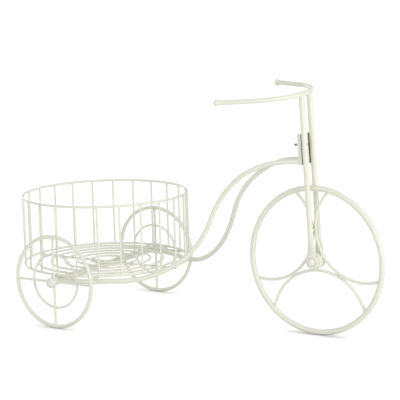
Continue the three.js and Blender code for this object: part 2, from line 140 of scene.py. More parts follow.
class PlanterPlaces(bpy.types.PropertyGroup):
    """The routes of the bent tubes and rods"""
    fork_rake: turn("Fork rake", "How far the fork leans back", 3)
    frame_seat: length("Frame seat", "Where the tubes meet the bracket, above the front axle", 138.7 * MM)
    frame_side_angle: turn("Side angle", "Where the tube lies beside the basket, from forward", 70)
    frame_side_inset: length("Side inset", "There, how far inside the bottom ring's centre", 4.2 * MM)
    frame_turn_angle: turn("Turn angle", "Where the tube starts to rise, from forward", 48)
    frame_turn_inset: length("Turn inset", "There, how far inside the bottom ring's centre", 2.7 * MM)
    frame_rise_run: length("Rise run", "Length of the S bend, seen from the side", 246 * MM)
    waist_run: length("Waist run", "From the start of the rise to the waist", 118.8 * MM)
    waist_half_width: length("Waist half width", "There, half the space between the tubes", 33.2 * MM)
    neck_run: length("Neck run", "From the start of the rise to the neck", 182 * MM)
    neck_half_width: length("Neck half width", "There, half the space between the tubes", 26.3 * MM)
    handlebar_bow_radius: length("Bow radius", "Radius of the handlebar's bow", 72.5 * MM)
    handlebar_bow_angle: turn("Bow angle", "Half of the bow", 70)
    handlebar_arm: length("Arm", "Straight length at each end of the bow", 46.2 * MM)
    handlebar_droop: turn("Arm droop", "How far the arms drop from square to the legs", 1.9)
    handlebar_twist: turn("Twist", "How far the bar is turned on the legs, with its left end up", 4)
    arc_turn: turn("First arc", "Direction of the first arc spoke, above forward", 33)


class PlanterColours(bpy.types.PropertyGroup):
    """Colours of the finishes"""
    enamel: colour("Enamel", "Ivory enamel where it is thick", "#f1f0e3")
    enamel_thin: colour("Thin enamel", "Ivory enamel where it is thin, slightly greener", "#e9ecde")
    cap: colour("Caps", "Nearly white moulded caps", "#eeeee8")
    steel: colour("Zinc", "Zinc-plated steel", "#a4aaa2")
    # Painted shade: this near-black colour stands in for the shadow in the crevices where the fork legs
    # lie on the bracket plate.
    scale: colour("Mill scale", "Bare steel in seams that the spray does not reach", "#3a3a36")
    floor: colour("Floor", "Pale floor", "#f2f2f0")
    lamp: colour("Lamp", "The lamps' warm light", "#fff8ee")
    daylight: colour("Daylight", "The soft light from all round", "#f8fbff")


class PlanterCamera(bpy.types.PropertyGroup):
    """Where the photograph was taken from"""
    azimuth: turn("Azimuth", "Direction of the view, from straight ahead along +Y", 32.66)
    elevation: turn("Elevation", "Height of the camera above the horizon", 9.61)
    roll: turn("Roll", "How far the camera is tipped sideways", -1.69)
    distance: length("Distance", "From the camera to the point it circles", 2387.6 * MM)
    pan_right: length("Pan right", "Shift of the camera to its right", 23.4 * MM)
    pan_up: length("Pan up", "Shift of the camera upwards", 45.8 * MM)
    ahead: length("Ahead", "Point that the camera circles, ahead of the rear axle", 140 * MM)
    height: length("Height", "The same point's height", 130 * MM)
    lens: FloatProperty(name="Lens", description="Focal length on a 36 mm wide sensor, in millimetres",
                        default=147.74, min=1)


# ---- Modelling helpers ----

def deselect_all():
    bpy.ops.object.select_all(action="DESELECT")


def only(piece):
    """Select one piece and make it the active one."""
    deselect_all()
    piece.select_set(True)
    bpy.context.view_layer.objects.active = piece


def added(add, **settings):
    """What one of Blender's add operators adds, with nothing else selected."""
    deselect_all()
    add(**settings)
    return bpy.context.object


def edit_all():
    """Go into edit mode, with the whole mesh selected."""
    bpy.ops.object.mode_set(mode="EDIT")
    bpy.ops.mesh.select_all(action="SELECT")


def edit_select(piece, wanted, mode="FACE"):
    """In edit mode, select only the edges or faces that wanted() is true for."""
    bpy.ops.mesh.select_mode(type=mode)
    bpy.ops.mesh.select_all(action="DESELECT")
    shape = bmesh.from_edit_mesh(piece.data)
    for part in (shape.edges if mode == "EDGE" else shape.faces):
        part.select_set(bool(wanted(part)))
    bmesh.update_edit_mesh(piece.data)


def settle(piece, smooth_angle=35):
    """End the shaping: close doubles, face outwards, keep the place in the mesh, shade smooth."""
    bpy.ops.object.mode_set(mode="OBJECT")
    only(piece)
    edit_all()
    bpy.ops.mesh.remove_doubles(threshold=0.002 * MM)
    bpy.ops.mesh.normals_make_consistent(inside=False)
    bpy.ops.object.mode_set(mode="OBJECT")
    bpy.ops.object.transform_apply(location=True, rotation=True, scale=True)
    bpy.ops.object.shade_smooth_by_angle(angle=math.radians(smooth_angle))
    return piece


def turn_and_move(piece, matrix):
    """Carry a settled piece to its place and keep that place in its mesh."""
    only(piece)
    piece.matrix_world = matrix @ piece.matrix_world
    bpy.ops.object.transform_apply(location=True, rotation=True, scale=True)
    return piece


def joined(pieces):
    """Several shapes as one piece."""
    only(pieces[0])
    for piece in pieces[1:]:
        piece.select_set(True)
    bpy.ops.object.join()
    return bpy.context.object


def copied(piece, matrix):
    """A copy with a mesh of its own, carried to another place."""
    only(piece)
    bpy.ops.object.duplicate(linked=False)
    return turn_and_move(bpy.context.object, matrix)


def cut_away(piece, tool):
    """Take the tool's shape out of the piece."""
    only(piece)
    cut = piece.modifiers.new("Cut", "BOOLEAN")
    cut.operation = "DIFFERENCE"
    cut.solver = "EXACT"
    cut.object = tool
    bpy.ops.object.modifier_apply(modifier=cut.name)
    bpy.data.objects.remove(tool)


def quarters(axis, first):
    """Four directions, a quarter turn apart."""
    return [Matrix.Rotation(i * QUARTER, 3, axis) @ first for i in range(4)]


def ring_radius(node, rod):
    """The radius of a ring's centre line, from its CAD node and its rod."""
    return (extent(node).x - rod) / 2


def spun_ring(node, rod, axis, steps, sides=18):
    """A rod bent into a closed ring in its node's place: a round section spun once about the axis."""
    centre = middle(node)
    tip = QUARTER if axis == Z else 0
    ring = added(bpy.ops.mesh.primitive_circle_add, vertices=sides, radius=rod / 2,
                 location=centre + X * ring_radius(node, rod), rotation=(tip, 0, 0))
    edit_all()
    bpy.ops.mesh.spin(steps=steps, angle=4 * QUARTER, center=centre, axis=axis)
    return settle(ring)


def spun_profile(profile, steps=32, smooth_angle=40):
    """A turned piece about the Y axis: its profile, a list of (radius, y), is extruded and spun."""
    piece = added(bpy.ops.mesh.primitive_plane_add, size=MM, location=(*profile[0], 0))
    edit_all()
    bpy.ops.mesh.select_mode(type="VERT")
    bpy.ops.mesh.merge(type="CENTER")
    for (radius, y), (next_radius, next_y) in zip(profile, profile[1:]):
        step = (next_radius - radius, next_y - y, 0)
        bpy.ops.mesh.extrude_vertices_move(TRANSFORM_OT_translate={"value": step})
    bpy.ops.mesh.select_all(action="SELECT")
    bpy.ops.mesh.spin(steps=steps, angle=4 * QUARTER, center=ORIGIN, axis=Y)
    return settle(piece, smooth_angle)


def turned_rod(half, node, steps=32):
    """A rod turned about Y in a node's place, from half of its profile, middle first."""
    profile = [(radius, -y) for radius, y in reversed(half)] + half
    return turn_and_move(spun_profile(profile, steps), Matrix.Translation(middle(node)))


def swept(half_angle, steps):
    """Evenly spaced angles, from minus to plus an angle."""
    return [half_angle * (2 * i / steps - 1) for i in range(steps + 1)]


def rounded(corner, radius, start):
    """A quarter circle of profile points about a corner's centre, from an angle in degrees."""
    angles = [math.radians(start + 90 * i / 4) for i in range(5)]
    return [(corner[0] + radius * math.cos(a), corner[1] + radius * math.sin(a)) for a in angles]


def barrel(half_length, inner, outer, rounding):
    """A hub about the Y axis with a bore and rounded outer edges."""
    side, end = outer - rounding, half_length - rounding
    profile = [(inner, half_length), (inner, -half_length)]
    profile += rounded((side, -end), rounding, -90) + rounded((side, end), rounding, 0)
    profile.append(profile[0])
    return spun_profile(profile, 40)


def rod_along(path, radii, sides):
    """A closed rod along a list of points, as thick at each point as its radius says."""
    rod = added(bpy.ops.curve.primitive_nurbs_path_add)
    rod.data.splines.clear()
    spline = rod.data.splines.new("POLY")
    spline.points.add(len(path) - 1)
    for point, place, radius in zip(spline.points, path, radii):
        point.co = (*place, 1)
        point.radius = radius
    rod.data.bevel_depth = 1
    rod.data.bevel_resolution = (sides - 4) // 2
    rod.data.use_fill_caps = True
    bpy.ops.object.convert(target="MESH")
    return settle(bpy.context.object)


def stations(path, spacing, fine_length, fine_spacing):
    """Distances along a path: evenly spaced, and closer together near its two ends."""
    whole = sum((b - a).length for a, b in zip(path, path[1:]))
    fine = [i * fine_spacing for i in range(int(fine_length / fine_spacing) + 1)]
    coarse_count = max(1, round((whole - 2 * fine_length) / spacing))
    step = (whole - 2 * fine[-1]) / coarse_count
    coarse = [fine[-1] + i * step for i in range(1, coarse_count)]
    return fine + coarse + [whole - d for d in reversed(fine)], whole


def along(path, distance):
    """The point at a distance along a path of straight steps."""
    for a, b in zip(path, path[1:]):
        step = (b - a).length
        if distance <= step:
            return a.lerp(b, distance / step)
        distance -= step
    return path[-1].copy()


def welded_rod(path, thick, sinks=(None, None), spacing=6 * MM, sides=16, swell=None):
    """A rod whose ends run a little way into what they are welded to and thicken there.

    sinks gives, for each end, how far inside its neighbour the path ends; None is a free end.
    """
    sizes = bpy.context.scene.planter_sizes
    swell = sizes.weld_swell if swell is None else swell
    reach = sizes.weld_length
    distances, whole = stations(path, spacing, 5 * reach, reach / 4)

    def radius_at(distance):
        radius = thick / 2
        for sink, from_end in zip(sinks, (distance, whole - distance)):
            if sink is not None:
                radius += thick / 2 * swell * math.exp(-(((from_end - sink) / reach) ** 2))
            elif from_end < thick / 4:
                radius *= 0.6 + 0.4 * math.sqrt(1 - (1 - 4 * from_end / thick) ** 2)
        return radius

    return rod_along([along(path, d) for d in distances], [radius_at(d) for d in distances], sides)


def weld_bead(place, size, seed):
    """A small drop of weld under paint: a squashed ball, slightly uneven."""
    bead = added(bpy.ops.mesh.primitive_uv_sphere_add, segments=12, ring_count=8, radius=0.5,
                 location=place)
    edit_all()
    bpy.ops.transform.resize(value=size, center_override=place)
    bpy.ops.transform.vertex_random(offset=0.06 * min(size), uniform=0.3, normal=0.7, seed=seed)
    return settle(bead, 80)


def finish_piece(piece, name, nodes, kind, body="frame"):
    """Name a piece, give it its finish and body, and hide the CAD nodes that it stands for."""
    if not piece.data.polygons:
        raise RuntimeError(f"{name} has no faces")
    slot, material = paint(kind)
    piece.name = name
    piece.data.name = name
    piece.data.materials.clear()
    piece.data.materials.append(material)
    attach(piece, body)
    if nodes:
        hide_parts(*nodes)


# ---- Materials ----

def add_node(material, kind, inputs=None, **settings):
    """Add a shader node, set its settings, and fill its inputs or link them.

    A value that is a node links by its first output.
    """
    node = material.node_tree.nodes.new(kind)
    for name, value in settings.items():
        setattr(node, name, value)
    for name, value in (inputs or {}).items():
        if isinstance(value, bpy.types.Node):
            value = value.outputs[0]
        if isinstance(value, bpy.types.NodeSocket):
            material.node_tree.links.new(value, node.inputs[name])
        else:
            node.inputs[name].default_value = value
    return node


def new_material(name):
    """An empty material, and the Object coordinates that its patterns lie on."""
    material = bpy.data.materials.new(name)
    material.use_nodes = True
    material.node_tree.nodes.clear()
    return material, add_node(material, "ShaderNodeTexCoord").outputs["Object"]


def rgba(name):
    """One of the scene's colours, as a node takes it."""
    return (*getattr(bpy.context.scene.planter_colours, name), 1)


def finish(material, surface):
    add_node(material, "ShaderNodeOutputMaterial", {"Surface": surface})
    return material


def ivory_enamel(name, pooling):
    """Gloss enamel, sprayed over welded steel rod.

    Paint pools on the undersides and thins on the rod's ridges, so the tone drifts over a few
    centimetres, and the film has the fine skin of orange peel, which breaks up its highlights.
    """
    material, place = new_material(name)
    drift = add_node(material, "ShaderNodeTexNoise", {"Vector": place, "Scale": 1 / (24 * MM)})
    pools = add_node(material, "ShaderNodeTexNoise", {"Vector": place, "Scale": 1 / (4 * MM)})
    peel = add_node(material, "ShaderNodeTexNoise", {
        "Vector": place, "Scale": 1 / (0.8 * MM), "Detail": 1})
    film = add_node(material, "ShaderNodeMix", {
        0: drift, 6: rgba("enamel"), 7: rgba("enamel_thin")}, data_type="RGBA")
    gloss = add_node(material, "ShaderNodeMapRange", {"Value": pools, "To Min": 0.26, "To Max": 0.42})
    waves = add_node(material, "ShaderNodeBump", {
        "Height": pools, "Distance": 0.25 * MM, "Strength": pooling})
    skin = add_node(material, "ShaderNodeBump", {
        "Height": peel, "Distance": 0.03 * MM, "Strength": 0.5, "Normal": waves})
    return finish(material, add_node(material, "ShaderNodeBsdfPrincipled", {
        "Base Color": film.outputs[2], "Roughness": gloss, "IOR": 1.5, "Normal": skin}))


def moulded_caps(name):
    """Injection-moulded polyethylene, nearly white: a waxy half gloss with a faint mould grain."""
    material, place = new_material(name)
    flow = add_node(material, "ShaderNodeTexNoise", {"Vector": place, "Scale": 1 / (5 * MM)})
    grit = add_node(material, "ShaderNodeTexNoise", {"Vector": place, "Scale": 1 / (0.5 * MM)})
    haze = add_node(material, "ShaderNodeMapRange", {"Value": flow, "To Min": 0.38, "To Max": 0.5})
    shade = add_node(material, "ShaderNodeMapRange", {"Value": flow, "To Min": 0.97, "To Max": 1.02})
    tone = add_node(material, "ShaderNodeHueSaturation", {"Color": rgba("cap"), "Value": shade})
    grain = add_node(material, "ShaderNodeBump", {
        "Height": grit, "Distance": 0.02 * MM, "Strength": 0.4})
    return finish(material, add_node(material, "ShaderNodeBsdfPrincipled", {
        "Base Color": tone, "Roughness": haze, "IOR": 1.5, "Normal": grain}))


def zinc_plate(name):
    """Steel with dull electroplated zinc: a grey metal, cloudy from handling."""
    material, place = new_material(name)
    clouds = add_node(material, "ShaderNodeTexNoise", {
        "Vector": place, "Scale": 1 / (1.5 * MM), "Detail": 3})
    rough = add_node(material, "ShaderNodeMapRange", {"Value": clouds, "To Min": 0.35, "To Max": 0.6})
    shade = add_node(material, "ShaderNodeMapRange", {"Value": clouds, "To Min": 0.85, "To Max": 1.05})
    tone = add_node(material, "ShaderNodeHueSaturation", {"Color": rgba("steel"), "Value": shade})
    return finish(material, add_node(material, "ShaderNodeBsdfPrincipled", {
        "Base Color": tone, "Metallic": 1.0, "Roughness": rough}))


def crevice_shade_paint(name):
    """Painted shade for the crevices where the fork legs lie on the bracket plate: a dark, dull and
    mottled colour that stands in for the shadow there.
    """
    material, place = new_material(name)
    mottle = add_node(material, "ShaderNodeTexNoise", {"Vector": place, "Scale": 1 / (2 * MM)})
    shade = add_node(material, "ShaderNodeMapRange", {"Value": mottle, "To Min": 0.7, "To Max": 1.3})
    tone = add_node(material, "ShaderNodeHueSaturation", {"Color": rgba("scale"), "Value": shade})
    return finish(material, add_node(material, "ShaderNodeBsdfPrincipled", {
        "Base Color": tone, "Roughness": 0.75, "IOR": 1.5}))


def seen_directly(material):
    """1 for rays from the camera, a mirror or glass, and 0 for those that light a surface."""
    path = add_node(material, "ShaderNodeLightPath")
    seen = path.outputs["Is Camera Ray"]
    for other in ("Is Glossy Ray", "Is Transmission Ray"):
        seen = add_node(material, "ShaderNodeMath", {0: seen, 1: path.outputs[other]},
                        operation="MAXIMUM")
    return seen


PAINTS = {}


def paint(kind):
    """The slot and the material of a finish. Each material is made once and shared."""
    slot, make, name, *settings = {
        "tube": ("ivory_enamel", ivory_enamel, "ivory_enamel_on_tube", 0.35),
        "wire": ("ivory_enamel", ivory_enamel, "ivory_enamel_on_wire", 0.2),
        "cap": ("cap_plastic", moulded_caps, "moulded_pale_caps"),
        "zinc": ("bare_steel", zinc_plate, "zinc_plated_steel"),
        # Painted shade: a dark colour for the crevices at the bracket, in place of their shadow.
        "seam": ("bare_steel", crevice_shade_paint, "bare_steel_mill_scale"),
    }[kind]
    if kind not in PAINTS:
        PAINTS[kind] = make(name, *settings)
    return slot, PAINTS[kind]


# ---- Pieces ----

def fork_frame():
    """The fork stands on the front axle and leans back by its rake, with its legs along +Z."""
    rake = bpy.context.scene.planter_places.fork_rake
    return Matrix.Translation(middle("front_axle")) @ Matrix.Rotation(-rake, 4, "Y")


def bar_frame():
    """Where the handlebar stands in the fork's frame: level with its balls, twisted and drooping.

    Returns that matrix and the bar's own flat path.
    """
    places = bpy.context.scene.planter_places
    bow, radius = places.handlebar_bow_angle, places.handlebar_bow_radius
    path = [Vector((radius * (math.cos(a) - 1), radius * math.sin(a), 0)) for a in swept(bow, 36)]
    arm = Vector((-math.sin(bow), math.cos(bow), 0)) * places.handlebar_arm
    path = [path[0] + Vector((arm.x, -arm.y, 0))] + path + [path[-1] + arm]
    turned = (Matrix.Rotation(places.handlebar_twist, 4, "X")
              @ Matrix.Rotation(places.handlebar_droop, 4, "Y"))
    balls = (middle("handlebar_ball_left") + middle("handlebar_ball_right")) / 2
    drop = ((turned @ path[0]).z + (turned @ path[-1]).z) / 2
    level = (fork_frame().inverted() @ balls).z - drop
    return Matrix.Translation((0, 0, level)) @ turned, path


class PLANTER_OT_basket_rings(bpy.types.Operator):
    """Spin the basket's top, bottom and floor rings from round wire"""
    bl_idname = "planter.basket_rings"
    bl_label = "Basket rings"

    def execute(self, context):
        sizes = context.scene.planter_sizes
        rings = [("top_ring", sizes.top_ring_wire, 120), ("bottom_ring", sizes.bottom_ring_wire, 120)]
        rings += [(f"floor_ring_{i}", sizes.floor_ring_wire, 96 - 8 * i) for i in range(1, 6)]
        for name, wire, steps in rings:
            node = f"basket_{name}"
            finish_piece(spun_ring(node, wire, Z, steps), f"{name}_wire", [node], "wire")
        return {"FINISHED"}


class PLANTER_OT_uprights(bpy.types.Operator):
    """Model one welded upright and copy it round the basket"""
    bl_idname = "planter.uprights"
    bl_label = "Uprights"

    def execute(self, context):
        sizes = context.scene.planter_sizes
        foot, head = middle("basket_bottom_ring"), middle("basket_top_ring")
        place = middle("basket_upright_01")
        path = [Vector((place.x, place.y, foot.z)), Vector((place.x, place.y, head.z))]
        sinks = (sizes.bottom_ring_wire / 2, sizes.top_ring_wire / 2)
        first = welded_rod(path, sizes.upright_wire, sinks, spacing=30 * MM, sides=14)
        about = Matrix.Translation(foot)
        for node in sorted(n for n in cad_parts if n.startswith("basket_upright_")):
            out = middle(node) - foot
            round_basket = Matrix.Rotation(math.atan2(out.y, out.x), 4, "Z")
            copy = copied(first, about @ round_basket @ about.inverted())
            finish_piece(copy, node.replace("basket_", "") + "_wire", [node], "wire")
        bpy.data.objects.remove(first)
        return {"FINISHED"}


class PLANTER_OT_floor_cross(bpy.types.Operator):
    """Lay the crossed wires under the floor rings and weld each crossing"""
    bl_idname = "planter.floor_cross"
    bl_label = "Floor cross"

    def execute(self, context):
        sizes = context.scene.planter_sizes
        centre = middle("basket_floor_cross")
        wire = sizes.floor_cross_wire
        reach = extent("basket_floor_cross").x / 2
        wires = [welded_rod([centre - d * reach, centre + d * reach], wire, spacing=40 * MM)
                 for d in (X, Y)]
        finish_piece(joined(wires), "floor_cross_wires", ["basket_floor_cross"], "wire")

        bead_size = Vector((1, 1, 0.6)) * 1.15 * wire
        top = centre + Z * wire * 0.52
        beads = []
        for ring in ["basket_bottom_ring"] + [f"basket_floor_ring_{i}" for i in range(1, 6)]:
            for out in quarters("Z", X):
                place = top + out * ring_radius(ring, extent(ring).z)
                beads.append(weld_bead(place, bead_size, len(beads)))
        finish_piece(joined(beads), "floor_weld_beads", [], "wire")
        return {"FINISHED"}


class PLANTER_OT_rear_axle(bpy.types.Operator):
    """Turn the rear axle with a thinner spindle at each end"""
    bl_idname = "planter.rear_axle"
    bl_label = "Rear axle"

    def execute(self, context):
        sizes = context.scene.planter_sizes
        size = extent("rear_axle")
        thick, thin, end = size.z / 2, sizes.rear_spindle / 2, size.y / 2
        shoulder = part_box("rear_wheel_spider_left")[0].y - SPIN_GAP
        half = [(thick, shoulder - AXLE_EDGE), (thick - AXLE_EDGE, shoulder), (thin, shoulder),
                (thin, end - AXLE_EDGE), (thin - AXLE_EDGE, end), (0, end)]
        finish_piece(turned_rod(half, "rear_axle"), "rear_axle_rod", ["rear_axle"], "tube")
        return {"FINISHED"}


class PLANTER_OT_rear_wheels(bpy.types.Operator):
    """Bend, weld and paint both small rear wheels"""
    bl_idname = "planter.rear_wheels"
    bl_label = "Rear wheels"

    def execute(self, context):
        for side, _sign in SIDES:
            self.wheel(context.scene.planter_sizes, side)
        return {"FINISHED"}

    def wheel(self, sizes, side):
        body = f"rear_wheel_{side}"
        rim_node, ring_node, spider_node = (
            f"rear_wheel_{part}_{side}" for part in ("rim", "ring", "spider"))
        rim = spun_ring(rim_node, sizes.rear_rim_rod, Y, 96, 20)
        finish_piece(rim, f"rear_rim_{side}", [rim_node], "tube", body)

        centre, rim_radius = middle(rim_node), ring_radius(rim_node, sizes.rear_rim_rod)
        hub_radius, sink = sizes.rear_hub / 2, 1 * MM
        bore = sizes.rear_spindle / 2 + BORE_PLAY
        hub = barrel(extent(spider_node).y / 2, bore, hub_radius, 0.8 * MM)
        spider = [turn_and_move(hub, Matrix.Translation(centre))]
        for out in quarters("Y", Z):
            path = [centre + out * (hub_radius - sink), centre + out * rim_radius]
            sinks = (sink, sizes.rear_rim_rod / 2)
            spider.append(welded_rod(path, sizes.rear_spoke_rod, sinks, spacing=20 * MM))
        finish_piece(joined(spider), f"rear_hub_and_spokes_{side}", [spider_node], "wire", body)

        inner = [spun_ring(ring_node, sizes.inner_ring_wire, Y, 72, 14)]
        seam = middle(ring_node).lerp(centre, 0.5)
        bead_size = Vector((1, 0.7, 1)) * 1.1 * sizes.inner_ring_wire
        for seed, out in enumerate(quarters("Y", Z)):
            place = seam + out * ring_radius(ring_node, sizes.inner_ring_wire)
            inner.append(weld_bead(place, bead_size, seed))
        finish_piece(joined(inner), f"rear_inner_ring_{side}", [ring_node], "wire", body)


def dome_cap(node, bore):
    """A moulded cap with a straight skirt, a low dome and a blind bore. Its flat face is at y = 0."""
    size = extent(node)
    radius, height = size.x / 2, size.y
    skirt, edge, depth = 2 * MM, 0.3 * MM, 0.6 * height
    profile = [(0, depth), (bore / 2, depth), (bore / 2, 0), (radius - edge, 0), (radius, edge)]
    for i in range(10):
        angle = i / 10 * QUARTER
        profile.append((radius * math.cos(angle), skirt + (height - skirt) * math.sin(angle)))
    return spun_profile(profile + [(0, height)], 40, 50)


class PLANTER_OT_caps(bpy.types.Operator):
    """Mould the round caps that close the axles"""
    bl_idname = "planter.caps"
    bl_label = "Axle caps"

    def execute(self, context):
        sizes = context.scene.planter_sizes
        bores = {"rear_axle_cap": sizes.rear_spindle, "front_cap_nut": sizes.front_bore - 2 * BORE_PLAY}
        for stem, bore in bores.items():
            for side, sign in SIDES:
                node = f"{stem}_{side}"
                low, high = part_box(node)
                face = middle(node)
                face.y = low.y if sign > 0 else high.y
                outwards = Matrix.Rotation(0 if sign > 0 else 2 * QUARTER, 4, "Z")
                cap = turn_and_move(dome_cap(node, bore), Matrix.Translation(face) @ outwards)
                finish_piece(cap, f"{stem}_moulding_{side}", [node], "cap")
        return {"FINISHED"}


def catmull_rom(points, steps):
    """A smooth curve through points, with a number of steps between each pair."""
    curve = []
    for i in range(len(points) - 1):
        before, a, b = points[max(i - 1, 0)], points[i], points[i + 1]
        after = points[min(i + 2, len(points) - 1)]
        start, end = (b - before) / 2, (after - a) / 2
        for k in range(steps):
            t = k / steps
            curve.append((2 * a - 2 * b + start + end) * t ** 3
                         + (-3 * a + 3 * b - 2 * start - end) * t ** 2 + start * t + a)
    return curve + [points[-1]]


class PLANTER_OT_frame_tubes(bpy.types.Operator):
    """Bend the two frame tubes from the rear axle up to the bracket"""
    bl_idname = "planter.frame_tubes"
    bl_label = "Frame tubes"

    def execute(self, context):
        sizes, places = context.scene.planter_sizes, context.scene.planter_places
        basket, axle = middle("basket_bottom_ring"), middle("rear_axle")
        basket_radius = ring_radius("basket_bottom_ring", sizes.bottom_ring_wire)
        half = sizes.frame_tube / 2

        def inside_ring(angle, inset):
            out = basket_radius - inset
            return Vector((basket.x + out * math.cos(angle), out * math.sin(angle)))

        rise_start = basket.x + basket_radius * math.cos(places.frame_turn_angle)
        sink, plate_margin = 1.5 * MM, 0.3 * MM
        end_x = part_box("frame_tube_left")[1].x + sink
        start_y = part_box("rear_wheel_spider_left")[0].y - SPIN_GAP - AXLE_EDGE - half
        end_y = extent("frame_plate").y / 2 - plate_margin - half
        plan = catmull_rom([
            Vector((axle.x, start_y)),
            inside_ring(places.frame_side_angle, places.frame_side_inset),
            inside_ring(places.frame_turn_angle, places.frame_turn_inset),
            Vector((rise_start + places.waist_run, places.waist_half_width)),
            Vector((rise_start + places.neck_run, places.neck_half_width)),
            Vector((end_x, end_y))], 16)

        # Seen from the side: level, an S bend of two equal arcs, level again.
        seat = fork_frame() @ (Z * places.frame_seat)
        rise, run = seat.z - axle.z, places.frame_rise_run
        radius = run / 2 / math.sin(2 * math.atan2(rise, run))

        def height(x):
            ahead = min(max(x - rise_start, 0), run)
            from_end = min(ahead, run - ahead)
            drop = radius - math.sqrt(radius ** 2 - from_end ** 2)
            return axle.z + (drop if ahead <= run / 2 else rise - drop)

        # Three welds on each side hold the basket's bottom ring to the tube.
        beads, bead_size, bead_rise = [], Vector((11, 3.2, 4.4)) * MM, 1.6 * MM
        for side, sign in SIDES:
            for degrees in (62, 78, 94):
                angle = math.radians(degrees)
                seam = inside_ring(angle, 1 * MM)
                bead = weld_bead(ORIGIN, bead_size, len(beads))
                place = Vector((seam.x, sign * seam.y, axle.z + half + bead_rise))
                along_ring = Matrix.Rotation(sign * (angle - QUARTER), 4, "Z")
                beads.append(turn_and_move(bead, Matrix.Translation(place) @ along_ring))
            path = [Vector((p.x, sign * p.y, height(p.x))) for p in plan]
            tube = welded_rod(path, sizes.frame_tube, (half, sink), sides=24, swell=0.25)
            finish_piece(tube, f"frame_tube_{side}_bent", [f"frame_tube_{side}"], "tube")
        finish_piece(joined(beads), "basket_weld_beads", [], "tube")
        return {"FINISHED"}


class PLANTER_OT_bracket(bpy.types.Operator):
    """Cut both bracket plates, weld the legs on, and turn the screw that joins the plates"""
    bl_idname = "planter.bracket"
    bl_label = "Bracket"

    def execute(self, context):
        sizes = context.scene.planter_sizes
        tilt = Matrix.Rotation(-context.scene.planter_places.fork_rake, 4, "Y")
        for node in ("fork_plate", "frame_plate"):
            plate = self.plate((sizes.plate_thickness, extent(node).y, sizes.plate_height))
            turn_and_move(plate, Matrix.Translation(middle(node)) @ tilt)
            finish_piece(plate, f"{node}_rounded", [node], "tube")
        self.welds(sizes)
        self.seams(sizes, tilt)
        self.screw(tilt)
        return {"FINISHED"}

    def plate(self, size):
        """A plate square to X, with round corners and soft edges."""
        plate = added(bpy.ops.mesh.primitive_cube_add, size=1)
        edit_all()
        bpy.ops.transform.resize(value=size, center_override=ORIGIN)
        edit_select(plate, lambda e: abs(e.verts[0].co.x - e.verts[1].co.x) > size[0] / 2, "EDGE")
        bpy.ops.mesh.bevel(offset=3 * MM, segments=6)
        edit_select(plate, lambda f: abs(f.normal.x) > 0.9)
        bpy.ops.mesh.bevel(offset=0.6 * MM, segments=3)
        return settle(plate, 40)

    def welds(self, sizes):
        """Short stitches where each leg lies on its plate."""
        beads = []
        behind = -(sizes.leg_tube + WELD_GAP) / 2
        for _side, sign in SIDES:
            for height in (138, 156.5, 175):
                place = Vector((behind, sign * middle("fork_leg_left").y, height * MM))
                beads.append(weld_bead(place, Vector((0.8, 2.4, 5)) * MM, len(beads)))
        welds = turn_and_move(joined(beads), fork_frame())
        finish_piece(welds, "bracket_weld_beads", [], "tube")

    def seams(self, sizes, tilt):
        """Lines of painted shade, in a dark colour, where each leg lies on the plate: they stand in for
        the shadow in the crevices there.

        They are wider on the inside, between the legs, where the shade is deeper.
        """
        leg, reach = sizes.leg_tube / 2, sizes.plate_height / 2 - 0.5 * MM
        front = leg + WELD_GAP
        lines = []
        for _side, sign in SIDES:
            for edge, rod in ((-1, 0.7 * MM), (1, 0.45 * MM)):
                aside = math.sqrt((leg + rod) ** 2 - (front - rod) ** 2)
                y = sign * (middle("fork_leg_left").y + edge * aside)
                path = [Vector((sizes.plate_thickness / 2 + rod, y, end * reach)) for end in (-1, 1)]
                lines.append(welded_rod(path, 2 * rod, spacing=10 * MM, sides=10))
        # These lines carry the dark colour of painted crevice shade.
        seams = turn_and_move(joined(lines), Matrix.Translation(middle("fork_plate")) @ tilt)
        finish_piece(seams, "bracket_seams", [], "seam")

    def screw(self, tilt):
        """A cross-slot machine screw along X, with its thread standing out behind."""
        low, high = -10.9 * MM, 10.1 * MM
        shank, head = 1.75 * MM, 3.5 * MM
        pitch, depth = 0.9 * MM, 0.28 * MM
        skirt, dome, slot = 0.6 * MM, 2 * MM, 1.2 * MM
        profile = [(0, low), (shank - 0.6 * MM, low)]
        y = low + 0.5 * MM
        while y < 0:
            profile += [(shank, y), (shank - depth, y + pitch / 2)]
            y += pitch
        under, brim = high - dome - skirt, high - dome
        profile += [(shank, y), (shank, under), (head, under), (head, brim)]
        for i in range(1, 6):
            angle = i / 6 * QUARTER
            profile.append((head * math.cos(angle), brim + dome * math.sin(angle)))
        screw = spun_profile(profile + [(0, high)], 24, 30)
        for width, breadth in ((0.9 * MM, 3.4 * MM), (3.4 * MM, 0.9 * MM)):
            cut_away(screw, added(bpy.ops.mesh.primitive_cube_add, size=1, location=(0, high, 0),
                                  scale=(width, 2 * slot, breadth)))
        settle(screw, 30)
        along_x = Matrix.Rotation(-QUARTER, 4, "Z") @ Matrix.Translation((0, -(low + high) / 2, 0))
        turn_and_move(screw, Matrix.Translation(middle("bracket_bolt")) @ tilt @ along_x)
        finish_piece(screw, "bracket_screw", ["bracket_bolt"], "zinc")


